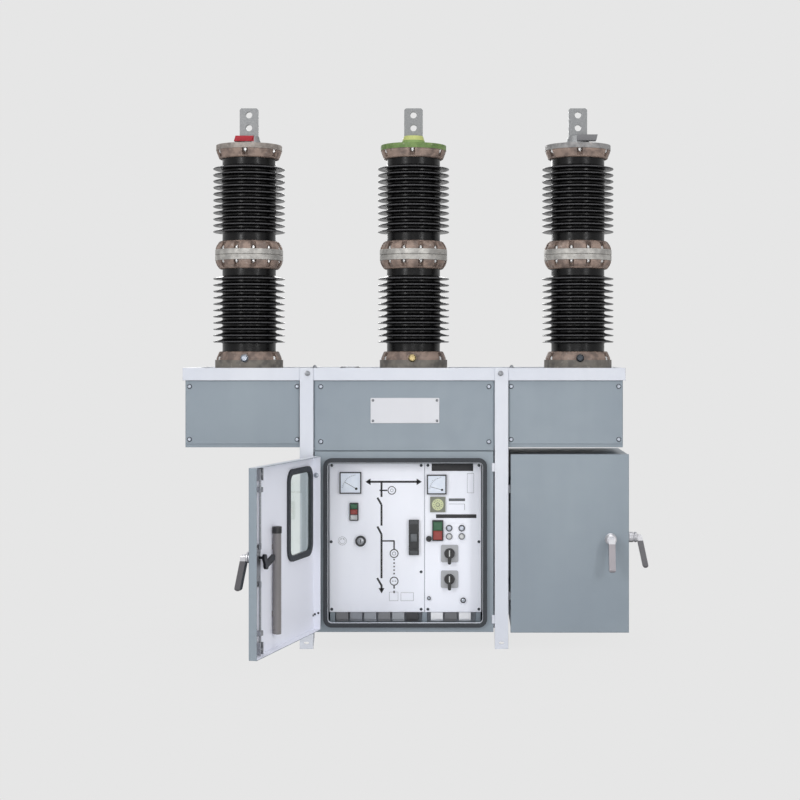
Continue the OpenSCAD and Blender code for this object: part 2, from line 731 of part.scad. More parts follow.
module lever_handle(spindle_l) {
    // rosette and stepped boss turned about the pivot
    rotate([90, 0, 0]) rotate_extrude() polygon([
        [0, run_gap], [handle_boss_r, run_gap], [handle_boss_r, 7], [handle_boss_r - 3, 10],
        [handle_boss_r - 3, handle_boss_l - 20], [handle_boss_r - 6, handle_boss_l - 17],
        [handle_boss_r - 6, handle_boss_l - 12], [handle_boss_r - 3, handle_boss_l - 9],
        [handle_boss_r - 3, handle_boss_l - 3], [handle_boss_r - 8, handle_boss_l + 2], [0, handle_boss_l + 2]]);
    // lever: a leaning bar from the side, cut to a round-ended bar from the front
    intersection() {
        translate([-handle_w / 2, -handle_boss_l - handle_t / 2, 0]) rotate([90, 0, 90]) linear_extrude(handle_w)
            rotate(-handle_lean) round_rect([-handle_t / 2, -handle_l], [handle_t / 2, handle_t / 2], handle_t / 2 - 1);
        upright(-handle_boss_l - handle_t - handle_l, handle_t + handle_l + 10)
            round_rect([-handle_w / 2, -handle_l], [handle_w / 2, handle_w / 2], handle_w / 2 - 1);
    }
    // spindle through the sheet
    translate([0, -1, 0]) rotate([-90, 0, 0]) cylinder(r = handle_spindle_r, h = spindle_l + 1);
}

// The cam on the inner end of the control handle works the two rods
module control_door_handle() color(alloy) at_control_door() translate([latch_x, door_face, handle_z]) {
    cam_y = rod_y - door_face + 9 + clear;
    cam_drop = 38;
    lever_handle(cam_y + 12);
    translate([0, cam_y, 0]) rotate([-90, 0, 0]) linear_extrude(12) {
        circle(16);
        rotate(118) round_rect([-13, -14], [cam_drop + 13, 14], 13);
        rotate(118) translate([cam_drop, 0]) rotate(-102) {
            circle(19);
            round_rect([-cam_l, -14], [0, 14], 13);
        }
    }
}

// Mechanism cabinet

mech_hinge_zs = [mech_bottom + 120, mech_top - 120];
mech_pin_r = 4;
lug_t = 8;
lug_r = 7.5;

module mechanism_cabinet() color(grey) {
    x0 = mech_left + sheet_t;
    x1 = mech_right;
    z0 = mech_bottom + 3;
    z1 = mech_top - 3;
    flange = 24;
    difference() {
        block([x0, shell_front, z0], [x1, shell_rear, z1]);
        block([x0 + sheet_t, shell_front + sheet_t, z0 + sheet_t],
              [x1 - sheet_t, shell_rear - sheet_t, z1 - sheet_t]);
        block([x0 + flange, shell_front - eps, z0 + flange],
              [x1 - flange, shell_front + sheet_t + eps, z1 - flange]);
        block([x1 - sheet_t - eps, side_front - clear, side_bottom - clear],
              [x1 + eps, side_rear + clear, side_top + clear]);
    }
    // bored lugs of the front hinges
    for (z = mech_hinge_zs) difference() {
        union() {
            translate([mech_axis[0], mech_axis[1], z]) cylinder(r = lug_r, h = lug_t);
            block([mech_axis[0], mech_axis[1], z], [mech_axis[0] + lug_r, shell_front + 1, z + lug_t]);
        }
        translate([mech_axis[0], mech_axis[1], z - eps]) cylinder(r = mech_pin_r + pin_gap, h = lug_t + 2 * eps);
    }
    for (z = [side_bottom + 90, side_top - 90]) side_fixed_hinge(z);
}

module side_fixed_hinge(z) {
    for (dz = [-1, 1]) translate([side_axis[0], side_axis[1], z + dz * knuckle_h - knuckle_h / 2]) {
        cylinder(r = knuckle_r, h = knuckle_h);
        translate([-knuckle_r - 1, 0, 0]) cube([4, 26, knuckle_h]);
    }
    translate([side_axis[0], side_axis[1], z - knuckle_h]) cylinder(r = pin_r, h = 2 * knuckle_h);
}

// Stub bars from the right-hand legs to the side of the mechanism cabinet
module cabinet_stays() color(white) for (z = [mech_bottom + 150, mech_top - 190]) {
    stay_x = [leg_in + angle_t, mech_left + sheet_t];
    block([stay_x[0], shell_front + 4, z], [stay_x[1], front_y + leg_flange, z + 40]);
    block([stay_x[0], rear_y - leg_flange, z], [stay_x[1], shell_rear - 4, z + 40]);
}

module mechanism_door() color(grey) {
    difference() {
        pan([mech_left, mech_face, mech_bottom], [mech_right, mech_rim, mech_top], skin_t);
        // notches in the folded edge let the fixed lugs pass
        for (z = mech_hinge_zs) block([mech_left - eps, mech_face + skin_t, z - clear],
            [mech_left + skin_t + eps, mech_rim + eps, z + lug_t + clear]);
        translate([mech_handle_x, mech_face - eps, handle_z]) rotate([-90, 0, 0])
            cylinder(r = handle_spindle_r + pin_gap, h = skin_t + 2 * eps);
    }
    for (z = mech_hinge_zs) {
        translate([mech_axis[0], mech_axis[1], z - lug_t - run_gap]) cylinder(r = mech_pin_r, h = 3 * lug_t + 2 * run_gap);
        for (dz = [-lug_t - run_gap, lug_t + run_gap])
            block([mech_axis[0] - 6, mech_face + skin_t / 2, z + dz],
                  [mech_axis[0] + 12, mech_axis[1] + 6, z + dz + lug_t]);
    }
}

module mechanism_door_handle() color(alloy) translate([mech_handle_x, mech_face, handle_z]) {
    lever_handle(22);
    translate([0, 12, 0]) rotate([-90, 0, 0]) linear_extrude(6) {
        circle(13);
        round_rect([0, -10], [52, 10], 8);
    }
}

module side_door() color(grey) {
    x1 = mech_right;
    difference() {
        translate([x1, 0, 0]) rotate([0, 0, 90])
            pan([side_front, 0, side_bottom], [side_rear, side_leaf_t, side_top], skin_t);
        translate([x1 - skin_t - eps, side_handle_y, handle_z]) rotate([0, 90, 0])
            cylinder(r = handle_spindle_r + pin_gap, h = skin_t + 2 * eps);
    }
    for (z = [side_bottom + 90, side_top - 90]) difference() {
        union() {
            translate([side_axis[0], side_axis[1], z - knuckle_h / 2 + run_gap])
                cylinder(r = knuckle_r, h = knuckle_h - 2 * run_gap);
            block([x1 - skin_t / 2, side_rear - 26, z - knuckle_h / 2 + run_gap],
                  [side_axis[0] - 2, side_axis[1], z + knuckle_h / 2 - run_gap]);
        }
        translate([side_axis[0], side_axis[1], z - knuckle_h]) cylinder(r = pin_r + pin_gap, h = 2 * knuckle_h);
    }
}

module side_door_handle() color(alloy) translate([mech_right, side_handle_y, handle_z]) rotate([0, 0, 90]) {
    lever_handle(14);
    translate([0, 8, 0]) rotate([-90, 0, 0]) linear_extrude(5) {
        circle(13);
        round_rect([-10, 0], [10, 45], 8);
    }
}

// Every node in its own place

top_angle();  // front_top_angle
at_rear() top_angle();  // rear_top_angle
end_top_angles();
front_leg(-1);  // front_left_leg
front_leg(1);  // front_right_leg
at_rear() front_leg(1);  // rear_left_leg
at_rear() front_leg(-1);  // rear_right_leg
pole_housing();
mirror([1, 0, 0]) side_cover();  // front_left_cover
middle_cover();  // front_middle_cover
side_cover();  // front_right_cover
rear_covers();
nameplate();
for (pole = POLES) {
    at_pole(pole) base_flange();
    at_pole(pole) insulator(lower_neck_z);
    at_pole(pole) middle_flange();
    at_pole(pole) insulator(upper_neck_z);
    at_pole(pole) top_flange();
    at_pole(pole) terminal(pole);
}
control_cabinet();
door_seal();
panel_plate(panel_left, panel_split - 1);  // mimic_panel
panel_plate(panel_split + 1, panel_right);  // switch_panel
panel_posts();
terminal_rail();
panel_instruments();
switch_knob(switch_zs[1]);  // upper_switch_knob
switch_knob(switch_zs[0]);  // lower_switch_knob
control_door();
window_seal();
window_glass();
charging_lever();
latch_rod(true);  // upper_latch_rod
latch_rod(false);  // lower_latch_rod
control_door_handle();
mechanism_cabinet();
cabinet_stays();
mechanism_door();
mechanism_door_handle();
side_door();
side_door_handle();
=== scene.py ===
"""Outdoor vacuum circuit breaker: finishes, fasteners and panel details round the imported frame."""
import json
import math

import bpy
from mathutils import Matrix, Vector


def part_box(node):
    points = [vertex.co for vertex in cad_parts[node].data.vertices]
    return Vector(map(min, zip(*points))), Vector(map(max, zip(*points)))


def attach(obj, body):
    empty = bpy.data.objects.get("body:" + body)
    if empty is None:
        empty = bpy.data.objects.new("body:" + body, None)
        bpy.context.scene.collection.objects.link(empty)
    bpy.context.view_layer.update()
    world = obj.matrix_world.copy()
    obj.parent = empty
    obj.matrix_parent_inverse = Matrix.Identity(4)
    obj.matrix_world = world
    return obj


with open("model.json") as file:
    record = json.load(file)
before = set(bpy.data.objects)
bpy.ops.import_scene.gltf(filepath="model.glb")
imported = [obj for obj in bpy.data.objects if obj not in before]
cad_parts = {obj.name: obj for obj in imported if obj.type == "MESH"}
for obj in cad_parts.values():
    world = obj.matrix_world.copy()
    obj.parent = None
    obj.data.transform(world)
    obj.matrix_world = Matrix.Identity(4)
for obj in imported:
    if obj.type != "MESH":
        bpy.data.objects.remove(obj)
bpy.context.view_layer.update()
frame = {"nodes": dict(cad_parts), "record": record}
NODES = frame["nodes"]
SUBPARTS = frame["record"]["subparts"]
MM = 0.001
FRONT = Vector((0, -1, 0))
UP = Vector((0, 0, 1))


def middle_x(node):
    """Where the middle of a node lies across the front."""
    low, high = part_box(node)
    return (low[0] + high[0]) / 2


# Poles: their axes, the radius past which the sheds' rims get a painted highlight, and the faces that the
# collars' bolts sit on
POLES = {pole: middle_x(pole + "_top_flange") for pole in ("left", "middle", "right")}
SHED_RIM = 0.172
DISC_TOP = 1.388
RING_LOW = 1.881
RING_HIGH = 1.935
PLATE_LOW = 2.428

# Control door: its hinge axis, how far it stands open, its top and, when closed, the inner face of its skin
DOOR_AXIS = (-0.407, -0.309, 0)
DOOR_ANGLE = math.radians(-104.5)
DOOR_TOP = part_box("control_door")[1][2]
INNER_SKIN = -0.3335


def srgb(red, green, blue):
    """A screen colour from 0 to 255 as the linear colour that a shader takes."""
    linear = []
    for level in (red / 255, green / 255, blue / 255):
        linear.append(level / 12.92 if level < 0.0404 else ((level + 0.055) / 1.055) ** 2.4)
    return (*linear, 1)


# Camera and light

BACKGROUND = srgb(230, 230, 230)
PHOTO_PX = 800
FOCAL_PX = 1600
CENTRE_PX = (470, 353)
CAMERA_AT = (0.317, -7.987, 1.422)
WORLD_FILL = 0.43
FLOOR_RADIUS = 14
SHADOW_NEAR = 0.4
SHADOW_FAR = 1.7
SHADOW_FADE = 0.96


def make_camera():
    """A level camera square to the front, with its optical axis where the photo's depths meet."""
    data = bpy.data.cameras.new("camera")
    data.sensor_width = 36
    data.lens = FOCAL_PX / PHOTO_PX * data.sensor_width
    data.shift_x = (PHOTO_PX / 2 - CENTRE_PX[0]) / PHOTO_PX
    data.shift_y = (CENTRE_PX[1] - PHOTO_PX / 2) / PHOTO_PX
    camera = bpy.data.objects.new("camera", data)
    camera.location = CAMERA_AT
    camera.rotation_euler = (math.radians(90), 0, 0)
    bpy.context.scene.collection.objects.link(camera)
    bpy.context.scene.camera = camera


def softbox(name, place, target, size, power):
    """A rectangular studio lamp that looks at a target."""
    data = bpy.data.lights.new(name, "AREA")
    data.shape = "RECTANGLE"
    data.size, data.size_y = size
    data.energy = power
    lamp = bpy.data.objects.new(name, data)
    lamp.location = place
    lamp.rotation_euler = (Vector(target) - Vector(place)).to_track_quat("-Z", "Y").to_euler()
    bpy.context.scene.collection.objects.link(lamp)


def seen_ray(tree):
    """1 for rays from the camera, from gloss and through glass; 0 for rays that carry light."""
    path = tree.nodes.new("ShaderNodeLightPath")
    first = tree.nodes.new("ShaderNodeMath")
    first.operation = "MAXIMUM"
    second = tree.nodes.new("ShaderNodeMath")
    second.operation = "MAXIMUM"
    tree.links.new(path.outputs["Is Camera Ray"], first.inputs[0])
    tree.links.new(path.outputs["Is Glossy Ray"], first.inputs[1])
    tree.links.new(first.outputs[0], second.inputs[0])
    tree.links.new(path.outputs["Is Transmission Ray"], second.inputs[1])
    return second.outputs[0]


def make_world():
    """An even white fill, which the camera, gloss and glass see as the pale background."""
    world = bpy.data.worlds.new("studio")
    world.use_nodes = True
    bpy.context.scene.world = world
    tree = world.node_tree
    fill = tree.nodes["Background"]
    fill.inputs["Color"].default_value = (1, 1, 1, 1)
    fill.inputs["Strength"].default_value = WORLD_FILL
    seen = tree.nodes.new("ShaderNodeBackground")
    seen.inputs["Color"].default_value = BACKGROUND
    mix = tree.nodes.new("ShaderNodeMixShader")
    tree.links.new(seen_ray(tree), mix.inputs[0])
    tree.links.new(fill.outputs[0], mix.inputs[1])
    tree.links.new(seen.outputs[0], mix.inputs[2])
    tree.links.new(mix.outputs[0], tree.nodes["World Output"].inputs[0])


def make_floor():
    """A pale floor that takes a faint shadow close to the object and fades into the background."""
    bpy.ops.object.select_all(action="DESELECT")
    bpy.ops.mesh.primitive_circle_add(vertices=96, radius=FLOOR_RADIUS, fill_type="NGON")
    floor = bpy.context.active_object
    floor.name = "floor"
    material = bpy.data.materials.new("floor")
    material.use_nodes = True
    tree = material.node_tree
    shader = tree.nodes["Principled BSDF"]
    shader.inputs["Base Color"].default_value = BACKGROUND
    shader.inputs["Roughness"].default_value = 0.9
    shader.inputs["Specular IOR Level"].default_value = 0.1
    glow = tree.nodes.new("ShaderNodeEmission")
    glow.inputs["Color"].default_value = BACKGROUND
    place = tree.nodes.new("ShaderNodeTexCoord")
    length = tree.nodes.new("ShaderNodeVectorMath")
    length.operation = "LENGTH"
    tree.links.new(place.outputs["Object"], length.inputs[0])
    fade = tree.nodes.new("ShaderNodeMapRange")
    fade.interpolation_type = "SMOOTHSTEP"
    fade.inputs["From Min"].default_value = SHADOW_NEAR
    fade.inputs["From Max"].default_value = SHADOW_FAR
    fade.inputs["To Min"].default_value = SHADOW_FADE
    tree.links.new(length.outputs["Value"], fade.inputs["Value"])
    seen = tree.nodes.new("ShaderNodeMath")
    seen.operation = "MULTIPLY"
    tree.links.new(fade.outputs[0], seen.inputs[0])
    tree.links.new(seen_ray(tree), seen.inputs[1])
    mix = tree.nodes.new("ShaderNodeMixShader")
    tree.links.new(seen.outputs[0], mix.inputs[0])
    tree.links.new(shader.outputs[0], mix.inputs[1])
    tree.links.new(glow.outputs[0], mix.inputs[2])
    tree.links.new(mix.outputs[0], tree.nodes["Material Output"].inputs[0])
    floor.data.materials.append(material)


bpy.context.scene.view_settings.view_transform = "Standard"
make_camera()
make_world()
make_floor()
softbox("left_strip", place=(-3.6, -5.4, 2.9), target=(0, 0, 1.3), size=(0.9, 2.6), power=100)
softbox("right_strip", place=(4.3, -5.4, 2.9), target=(0.2, 0, 1.3), size=(0.9, 2.6), power=80)
softbox("overhead", place=(0.2, -1.2, 5.2), target=(0.1, 0, 1.2), size=(4.0, 2.6), power=70)
softbox("front_low", place=(0.2, -6.2, 0.7), target=(0.1, 0, 0.6), size=(2.4, 0.9), power=46)
softbox("rear_fill", place=(-1.0, 5.5, 3.6), target=(0, 0, 1.2), size=(3.0, 2.5), power=130)


# Materials, each on Object coordinates; FOLD is the radius to which shading rounds the edges of folds

ANY = (None, None, None)
FOLD = 0.005


class Finish:
    """A material under construction: its shader and the few nodes that its pattern needs."""

    # Places of the colour sockets on a Mix node, which has a set of sockets for each type of data
    MIX_COLOURS = (6, 7)
    MIX_RESULT = 2

    def __init__(self, name, roughness, metallic=0.0):
        self.material = bpy.data.materials.new(name)
        self.material.use_nodes = True
        self.tree = self.material.node_tree
        self.shader = self.tree.nodes["Principled BSDF"]
        self.shader.inputs["Roughness"].default_value = roughness
        self.shader.inputs["Metallic"].default_value = metallic
        self.place = self.tree.nodes.new("ShaderNodeTexCoord").outputs["Object"]
        self.tint = None

    def node(self, kind, **settings):
        made = self.tree.nodes.new("ShaderNode" + kind)
        for key, value in settings.items():
            setattr(made, key, value)
        return made

    def join(self, source, target):
        self.tree.links.new(source, target)

    def noise(self, scale, detail=3.0, stretch=None):
        """Noise of so many features a metre, pulled out along an axis where stretch says so."""
        texture = self.node("TexNoise")
        texture.inputs["Scale"].default_value = scale
        texture.inputs["Detail"].default_value = detail
        source = self.place
        if stretch:
            mapping = self.node("Mapping")
            mapping.inputs["Scale"].default_value = stretch
            self.join(source, mapping.inputs["Vector"])
            source = mapping.outputs[0]
        self.join(source, texture.inputs["Vector"])
        return texture.outputs["Fac"]

    def spread(self, value, low, high, to_low=0.0, to_high=1.0):
        """The value's stretch from low to high, laid over another stretch and held at its ends."""
        ramp = self.node("MapRange")
        for key, number in (("From Min", low), ("From Max", high), ("To Min", to_low), ("To Max", to_high)):
            ramp.inputs[key].default_value = number
        self.join(value, ramp.inputs["Value"])
        return ramp.outputs[0]

    def blend(self, factor, first, second):
        """Two colours, or what a colour socket gives, mixed by a factor."""
        mix = self.node("Mix", data_type="RGBA")
        self.join(factor, mix.inputs[0])
        for index, colour in zip(self.MIX_COLOURS, (first, second)):
            if isinstance(colour, tuple):
                mix.inputs[index].default_value = colour
            else:
                self.join(colour, mix.inputs[index])
        return mix.outputs[self.MIX_RESULT]

    def pair(self, operation, first, second):
        """One value from two."""
        both = self.node("Math", operation=operation)
        self.join(first, both.inputs[0])
        self.join(second, both.inputs[1])
        return both.outputs[0]

    def within(self, low, high, turned=None):
        """1 inside a box of the part's frame and 0 outside; None leaves a side of the box open."""
        split = self.node("SeparateXYZ")
        self.join(turned or self.place, split.inputs[0])
        inside = None
        for index in range(3):
            for bound, kind in ((low[index], "GREATER_THAN"), (high[index], "LESS_THAN")):
                if bound is None:
                    continue
                test = self.node("Math", operation=kind)
                test.inputs[1].default_value = bound
                self.join(split.outputs[index], test.inputs[0])
                inside = self.pair("MULTIPLY", inside, test.outputs[0]) if inside else test.outputs[0]
        return inside

    def from_poles(self):
        """Distance from the axis of the nearest pole."""
        split = self.node("SeparateXYZ")
        self.join(self.place, split.inputs[0])
        fold = self.node("Math", operation="WRAP")
        pitch = POLES["middle"] - POLES["left"]
        fold.inputs[1].default_value = POLES["middle"] + pitch / 2
        fold.inputs[2].default_value = POLES["middle"] - pitch / 2
        self.join(split.outputs[0], fold.inputs[0])
        aside = self.node("Math", operation="SUBTRACT")
        aside.inputs[1].default_value = POLES["middle"]
        self.join(fold.outputs[0], aside.inputs[0])
        flat = self.node("CombineXYZ")
        self.join(aside.outputs[0], flat.inputs[0])
        self.join(split.outputs[1], flat.inputs[1])
        length = self.node("VectorMath", operation="LENGTH")
        self.join(flat.outputs[0], length.inputs[0])
        return length.outputs["Value"]

    def swung(self):
        """Coordinates that swing with the open control door, from its hinge axis."""
        mapping = self.node("Mapping", vector_type="TEXTURE")
        mapping.inputs["Location"].default_value = DOOR_AXIS
        mapping.inputs["Rotation"].default_value = (0, 0, DOOR_ANGLE)
        self.join(self.place, mapping.inputs["Vector"])
        return mapping.outputs[0]

    def colour(self, source):
        self.tint = source
        self.join(source, self.shader.inputs["Base Color"])

    def over(self, inside, colour):
        """Another colour where a mask is 1."""
        self.colour(self.blend(inside, self.tint, colour))

    def rough(self, source):
        self.join(source, self.shader.inputs["Roughness"])

    def bare(self, inside, outside_share, inside_share):
        """A share of bare metal inside a mask and another outside it."""
        self.join(self.spread(inside, 0, 1, outside_share, inside_share), self.shader.inputs["Metallic"])

    def bump(self, height, strength, depth, edge=0.0):
        """A fine relief, with the edges of folds and corners rounded to the radius edge."""
        bump = self.node("Bump")
        bump.inputs["Strength"].default_value = strength
        bump.inputs["Distance"].default_value = depth
        self.join(height, bump.inputs["Height"])
        if edge:
            soft = self.node("Bevel", samples=6)
            soft.inputs["Radius"].default_value = edge
            self.join(soft.outputs[0], bump.inputs["Normal"])
        self.join(bump.outputs[0], self.shader.inputs["Normal"])


def darker(colour, share):
    return tuple(share * v for v in colour[:3]) + (1,)


def paint(name, base, shade, roughness):
    """Sprayed enamel: slow drifts of tone, faint rain streaks and an orange-peel surface."""
    finish = Finish(name, roughness)
    drift = finish.spread(finish.noise(1.6, 4.0), 0.35, 0.65)
    streak = finish.spread(finish.noise(9.0, 4.0, (1, 1, 0.12)), 0.45, 0.8, 0.0, 0.3)
    toned = finish.blend(drift, base, shade)
    finish.colour(finish.blend(streak, toned, darker(shade, 0.9)))
    finish.rough(finish.spread(finish.noise(14.0), 0.3, 0.7, roughness - 0.06, roughness + 0.08))
    finish.bump(finish.noise(900.0, 2.0), 0.05, 0.0004, FOLD)
    return finish


def porcelain_glaze():
    """Brown-black glaze with a wet gloss and faint kiln mottling, and a painted highlight: paler grey on the
    sheds' rims.
    """
    finish = Finish("porcelain_glaze", 0.3)
    mottle = finish.spread(finish.noise(30.0, 5.0), 0.4, 0.7)
    finish.colour(finish.blend(mottle, srgb(9, 9, 11), srgb(17, 16, 17)))
    # Painted highlight: past SHED_RIM the sheds' rims are painted paler grey, standing in for light caught
    # by their edges
    finish.over(finish.spread(finish.from_poles(), SHED_RIM, SHED_RIM + 0.004), srgb(74, 74, 76))
    finish.rough(finish.spread(finish.noise(60.0), 0.3, 0.7, 0.22, 0.4))
    finish.bump(finish.noise(220.0), 0.05, 0.0005)
    finish.shader.inputs["Specular IOR Level"].default_value = 0.22
    return finish.material


def casting_paint(name, low, high, base, shade, bare):
    """Old brown primer on a sand casting, worn in small patches.

    A band between two heights has its own colours and a share of bare metal.
    """
    finish = Finish(name, 0.6)
    patch = finish.spread(finish.noise(26.0, 6.0), 0.42, 0.62)
    finish.colour(finish.blend(patch, srgb(152, 132, 121), srgb(112, 97, 90)))
    band = finish.within((None, None, low), (None, None, high))
    finish.over(band, finish.blend(patch, base, shade))
    finish.bare(band, 0, bare)
    wear = finish.spread(finish.noise(70.0, 8.0), 0.62, 0.74, 0.0, 0.7)
    finish.over(wear, srgb(170, 162, 156))
    finish.rough(finish.spread(finish.noise(40.0), 0.3, 0.7, 0.48, 0.72))
    finish.bump(finish.noise(260.0, 6.0), 0.35, 0.0012, FOLD / 2)
    return finish.material


def metal(name, base, shade, roughness):
    """Bare metal with a worked grain and slightly uneven tone."""
    finish = Finish(name, roughness, 1.0)
    grain = 180.0
    tone = finish.spread(finish.noise(grain, 5.0), 0.3, 0.7)
    finish.colour(finish.blend(tone, base, shade))
    finish.rough(finish.spread(finish.noise(grain * 0.6, 4.0), 0.3, 0.7, roughness * 0.8, roughness * 1.3))
    finish.bump(finish.noise(grain * 4), 0.08, 0.0003, FOLD / 2)
    return finish


def moulded(name, base, roughness, shade=None):
    """Moulded plastic, rubber or print with a fine matt texture."""
    finish = Finish(name, roughness)
    tone = finish.spread(finish.noise(45.0, 4.0), 0.35, 0.65)
    finish.colour(finish.blend(tone, base, shade or darker(base, 0.8)))
    finish.rough(finish.spread(finish.noise(90.0), 0.3, 0.7, roughness - 0.05, roughness + 0.08))
    finish.bump(finish.noise(1400.0, 2.0), 0.08, 0.0003)
    return finish


def window_pane():
    """Clear, faintly green glass with smears."""
    finish = Finish("window_glass", 0.05)
    finish.shader.inputs["Transmission Weight"].default_value = 1.0
    finish.shader.inputs["IOR"].default_value = 1.2
    smear = finish.spread(finish.noise(5.0, 4.0, (1, 1, 0.4)), 0.4, 0.8)
    finish.colour(finish.blend(smear, srgb(240, 247, 245), srgb(222, 234, 230)))
    finish.rough(finish.spread(finish.noise(7.0), 0.3, 0.8, 0.03, 0.12))
    return finish.material


GREY_PAIR = (srgb(143, 154, 163), srgb(135, 146, 156))
WHITE_PAIR = (srgb(217, 220, 228), srgb(210, 214, 224))


def door_paint():
    """The control door: grey outside, white inside, bare steel on the latch and a painted highlight, pale,
    on its top fold.
    """
    finish = paint("control_door", *GREY_PAIR, 0.42)
    swung = finish.swung()
    skin = finish.within((0.0112, -0.0248, 0.0985), (0.8148, None, 0.9245), swung)
    finish.over(skin, srgb(240, 242, 252))
    latch = finish.within((0.690, -0.0243, 0.1), (0.744, None, 0.922), swung)
    finish.over(latch, srgb(150, 152, 156))
    finish.bare(latch, 0, 0.85)
    # Painted highlight: the top fold is painted pale, standing in for light falling on it from above
    top_fold_highlight = finish.within((None, None, DOOR_TOP - 0.001), ANY)
    finish.over(top_fold_highlight, srgb(212, 216, 224))
    return finish.material


def cabinet_paint():
    """The control cabinet: grey, with the bare white edge of the lip inside the seal."""
    finish = paint("control_cabinet", *GREY_PAIR, 0.42)
    lip = finish.within((-0.385, None, None), (None, -0.2925, None))
    finish.over(lip, srgb(214, 218, 226))
    return finish.material


def instrument_plastic():
    """Black cases; the switch plates are light grey, the timer grey-green and the lamps' bodies mid grey."""
    finish = moulded("instrument_black", srgb(36, 38, 42), 0.42)
    switch_plates = finish.within((0.172, None, 0.28), (0.264, None, 0.50))
    finish.over(switch_plates, srgb(168, 170, 174))
    timer_case = finish.within((0.12, None, 0.645), (0.20, None, 0.73))
    finish.over(timer_case, srgb(122, 126, 112))
    lamp_bodies = finish.within((0.195, None, 0.515), (0.30, None, 0.595))
    finish.over(lamp_bodies, srgb(112, 114, 118))
    return finish.material


def handle_chrome():
    """Door handles with painted highlights on their heads and painted shade on the side handle's and control
    door handle's levers; the control door's cam is blackened steel.
    """
    finish = Finish("handle_chrome", 0.3, 1.0)
    finish.colour(finish.blend(finish.noise(12.0, 2.0), srgb(158, 154, 158), srgb(142, 138, 143)))
    finish.rough(finish.spread(finish.noise(9.0, 1.0), 0.3, 0.7, 0.34, 0.42))
    # Painted shade: the side handle's and the control door handle's levers are painted darker, standing in
    # for their dark reflections
    lever_shade = srgb(104, 103, 106)
    side_handle = finish.within((1.09, None, None), ANY)
    finish.over(side_handle, lever_shade)
    control_handle = finish.within(ANY, (None, -0.6, None))
    finish.over(control_handle, lever_shade)
    # Painted highlight: the heads of all handles are painted bright, standing in for their glints
    heads = finish.within((None, None, 0.512), ANY)
    finish.over(heads, srgb(196, 196, 200))
    cam = finish.within((0.55, -0.02, 0.3), (0.85, 0.1, 0.7), finish.swung())
    finish.over(cam, srgb(44, 45, 48))
    return finish.material


def rail_plastic():
    """Grey and black terminal blocks along the rail, and pale ones that end above its foot."""
    finish = moulded("terminal_rail", srgb(168, 173, 182), 0.5)
    foot, pale_foot, top = 0.1, 0.124, 0.18
    front = -0.1875
    pale = srgb(248, 249, 253)
    blocks = ((-0.335, -0.27, srgb(132, 132, 136)), (-0.27, -0.20, srgb(156, 160, 168)),
              (-0.20, -0.13, srgb(168, 172, 179)), (-0.13, -0.07, srgb(142, 143, 147)),
              (-0.07, 0.0, srgb(176, 180, 186)), (0.0, 0.07, srgb(62, 62, 66)),
              (0.12, 0.19, pale), (0.19, 0.26, srgb(116, 117, 121)), (0.26, 0.34, pale))
    for left, right, colour in blocks:
        bottom = pale_foot if colour is pale else foot
        finish.over(finish.within((left, None, bottom), (right, front, top)), colour)
    return finish.material


def terminal_metal(name, marks):
    """Machined alloy with painted phase marks in boxes near the foot of the pad."""
    finish = metal(name, srgb(148, 149, 150), srgb(130, 132, 134), 0.5)
    painted = None
    for low, high, colour in marks:
        inside = finish.within(low, high)
        finish.over(inside, colour)
        painted = finish.pair("MAXIMUM", painted, inside) if painted else inside
    finish.bare(painted, 0.75, 0.0)
    return finish.material


CABINET_GREY = paint("cabinet_grey", *GREY_PAIR, 0.42).material
FRAME_WHITE = paint("frame_white", *WHITE_PAIR, 0.4).material
PANEL_WHITE = paint("panel_white", srgb(245, 247, 255), srgb(241, 244, 254), 0.5).material
PLATE_WHITE = paint("nameplate", srgb(216, 217, 222), srgb(210, 211, 217), 0.4).material
TUBE_GREY = paint("lever_tube", srgb(134, 130, 130), srgb(120, 117, 118), 0.4).material
PORCELAIN = porcelain_glaze()
GLASS = window_pane()
ZINC = metal("rod_steel", srgb(156, 158, 162), srgb(120, 123, 128), 0.36).material
BRIGHT_STEEL = metal("bright_steel", srgb(216, 216, 216), srgb(186, 186, 186), 0.3).material
DARK_STEEL = metal("dark_steel", srgb(92, 96, 102), srgb(66, 70, 76), 0.45).material
BRASS = metal("brass", srgb(208, 190, 144), srgb(186, 166, 120), 0.42).material
LOCK_FACE = metal("lock_face", srgb(188, 194, 204), srgb(164, 170, 180), 0.4).material
RUBBER = moulded("seal_rubber", srgb(40, 45, 52), 0.55).material
KNOB_BLACK = moulded("knob_black", srgb(24, 24, 26), 0.35).material
MARK_BLACK = moulded("mark_black", srgb(34, 34, 38), 0.5).material
MARK_GREY = moulded("mark_grey", srgb(150, 152, 158), 0.5).material
FACE_WHITE = moulded("meter_face", srgb(230, 237, 248), 0.35, srgb(222, 230, 243)).material
DIAL_PALE = moulded("timer_face", srgb(206, 212, 168), 0.4).material
BUTTON_GREEN = moulded("button_green", srgb(26, 88, 54), 0.35).material
BUTTON_RED = moulded("button_red", srgb(146, 46, 38), 0.35).material
BUTTON_GREY = moulded("button_grey", srgb(196, 198, 200), 0.35).material
LENS_PALE = moulded("lamp_pale", srgb(206, 208, 208), 0.25).material
LABEL_DARK = moulded("label_dark", srgb(66, 68, 72), 0.45).material
SLIDER_GREY = moulded("slider_grey", srgb(92, 96, 101), 0.4).material

